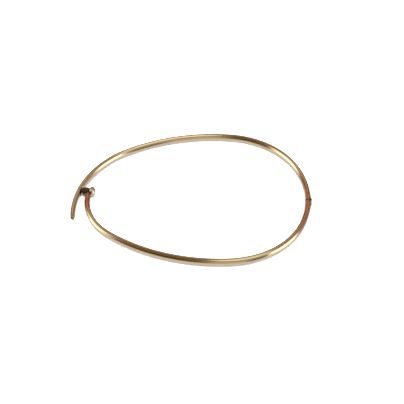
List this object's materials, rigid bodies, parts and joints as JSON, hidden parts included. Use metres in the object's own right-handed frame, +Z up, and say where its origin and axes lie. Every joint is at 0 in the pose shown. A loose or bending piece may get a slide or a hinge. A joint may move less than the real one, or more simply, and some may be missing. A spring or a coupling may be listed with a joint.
{
  "type": "hinged bangle bracelet",
  "caption": "Oval hinged bangle of solid gold wire whose one arm crosses outside the other and ends in a free tail, closed by a small sprung bolt with a ball knob.",
  "frame": {"origin": "centre of the bangle's bounding box, on the plane it lies on", "axes": "+X from the catch to the hinge, +Y from the front arm to the rear arm, +Z up through the wrist opening"},
  "size_m": [0.0664, 0.0532, 0.0027],
  "materials": {
    "wire_gold": "polished 9 ct rose gold with light wear",
    "hinge_gold": "polished rose gold, darker at the seams",
    "pin_gold": "turned gold, satin",
    "knob_gold": "bright polished gold",
    "catch_gold": "dulled gold with dark tarnish in the corners",
    "spring_steel": "drawn spring wire"
  },
  "bodies": {
    "rear_half": {"rear_arm": "wire_gold", "rear_hinge_ferrule": "hinge_gold", "rear_knuckle_upper": "hinge_gold", "rear_knuckle_lower": "hinge_gold", "hinge_pin": "pin_gold", "keeper_plate": "catch_gold"},
    "front_half": {"front_arm": "wire_gold", "front_hinge_ferrule": "hinge_gold", "front_knuckle": "hinge_gold", "tip_collar": "wire_gold", "bolt_barrel": "catch_gold", "barrel_bush": "catch_gold", "catch_spring": "spring_steel"},
    "bolt": {"bolt_pin": "pin_gold", "pull_knob": "knob_gold"}
  },
  "joints": [
    {"name": "hinge_swing", "type": "hinge", "parent": "rear_half", "child": "front_half", "pos_m": [0.03259, -0.00288, 0.00137], "axis": [0, 0, 1], "range_deg": [0, 75]},
    {"name": "bolt_pull", "type": "slide", "parent": "front_half", "child": "bolt", "axis": [1, 0, 0], "range_m": [0, 0.00045], "stiffness_N_per_m": 500, "springref_m": -0.0008, "deforming": ["catch_spring"]}
  ]
}
